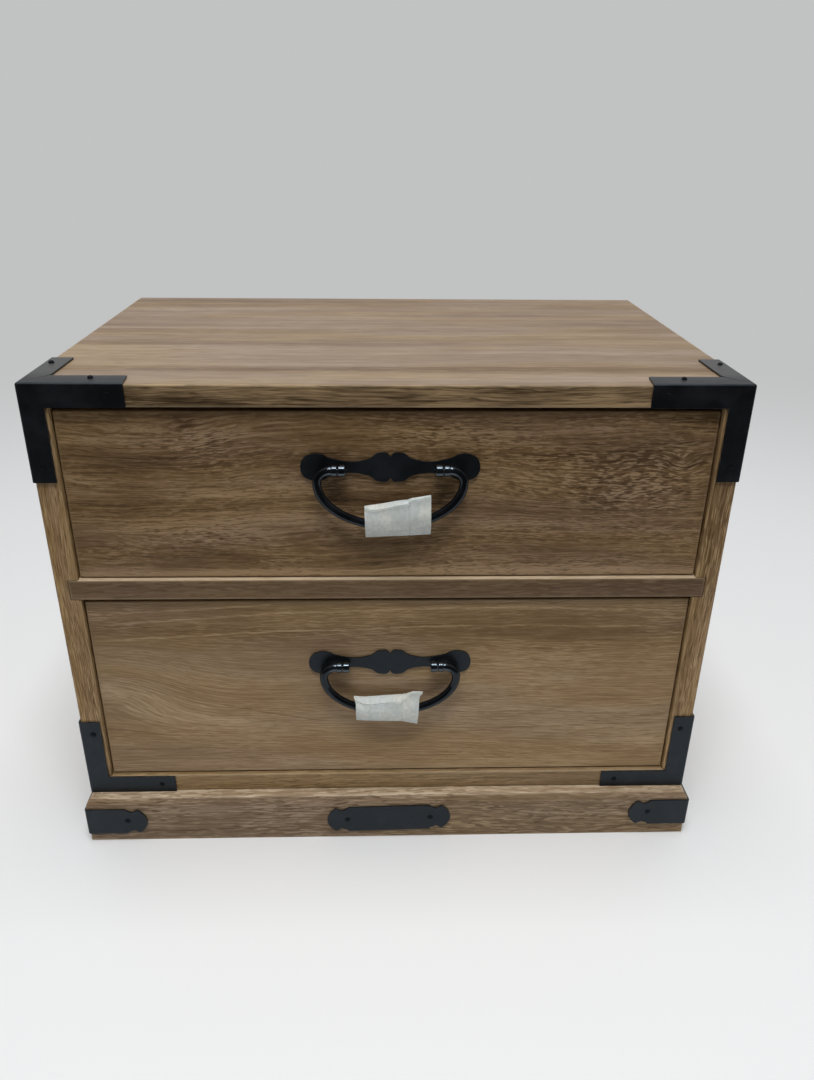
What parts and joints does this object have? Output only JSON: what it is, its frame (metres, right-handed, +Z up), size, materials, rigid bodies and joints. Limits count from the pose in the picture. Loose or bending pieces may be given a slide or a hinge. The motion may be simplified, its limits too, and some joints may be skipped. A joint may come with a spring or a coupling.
{
  "type": "tabletop drawer chest",
  "caption": "Small wooden tabletop chest with stacked drawers, black sheet-iron corners, shaped backplates and swinging bail handles, on a moulded plinth.",
  "frame": {"origin": "on the floor under the middle of the bounding box", "axes": "+X to the right seen from the front, +Y from the drawer fronts to the back, +Z up"},
  "size_m": [0.3552, 0.24, 0.2745],
  "materials": {
    "brown_wood": "brushed brown wood, open grain, matt",
    "pale_wood": "plain sanded pale wood",
    "back_plywood": "thin plywood, stained",
    "black_iron": "satin black lacquer on iron",
    "plated_steel": "zinc-plated steel",
    "white_foam": "thin white foam sheet, folded and taped"
  },
  "bodies": {
    "case": {"top_panel": "brown_wood", "left_side_panel": "brown_wood", "right_side_panel": "brown_wood", "bottom_panel": "brown_wood", "back_panel": "back_plywood", "divider_rail": "brown_wood", "left_drawer_runner": "brown_wood", "right_drawer_runner": "brown_wood", "plinth_front": "brown_wood", "plinth_left": "brown_wood", "plinth_right": "brown_wood", "plinth_back": "brown_wood", "upper_left_corner_iron": "black_iron", "upper_right_corner_iron": "black_iron", "lower_left_corner_iron": "black_iron", "lower_right_corner_iron": "black_iron", "plinth_left_corner_iron": "black_iron", "plinth_right_corner_iron": "black_iron", "plinth_centre_plate": "black_iron"},
    "upper_drawer": {"upper_drawer_front": "brown_wood", "upper_drawer_left_side": "pale_wood", "upper_drawer_right_side": "pale_wood", "upper_drawer_back": "pale_wood", "upper_drawer_bottom": "pale_wood", "upper_handle_backplate": "black_iron", "upper_handle_left_post": "black_iron", "upper_handle_right_post": "black_iron", "upper_handle_left_nut": "plated_steel", "upper_handle_right_nut": "plated_steel"},
    "upper_bail": {"upper_handle_bail": "black_iron", "upper_handle_sleeve": "white_foam"},
    "lower_drawer": {"lower_drawer_front": "brown_wood", "lower_drawer_left_side": "pale_wood", "lower_drawer_right_side": "pale_wood", "lower_drawer_back": "pale_wood", "lower_drawer_bottom": "pale_wood", "lower_handle_backplate": "black_iron", "lower_handle_left_post": "black_iron", "lower_handle_right_post": "black_iron", "lower_handle_left_nut": "plated_steel", "lower_handle_right_nut": "plated_steel"},
    "lower_bail": {"lower_handle_bail": "black_iron", "lower_handle_sleeve": "white_foam"}
  },
  "joints": [
    {"name": "upper_drawer_slide", "type": "slide", "parent": "case", "child": "upper_drawer", "axis": [0, -1, 0], "range_m": [0, 0.165]},
    {"name": "upper_bail_swing", "type": "hinge", "parent": "upper_drawer", "child": "upper_bail", "pos_m": [0, -0.11405, 0.23165], "axis": [-1, 0, 0], "range_deg": [0, 165]},
    {"name": "lower_drawer_slide", "type": "slide", "parent": "case", "child": "lower_drawer", "axis": [0, -1, 0], "range_m": [0, 0.165]},
    {"name": "lower_bail_swing", "type": "hinge", "parent": "lower_drawer", "child": "lower_bail", "pos_m": [0, -0.11405, 0.1173], "axis": [-1, 0, 0], "range_deg": [0, 165]}
  ]
}
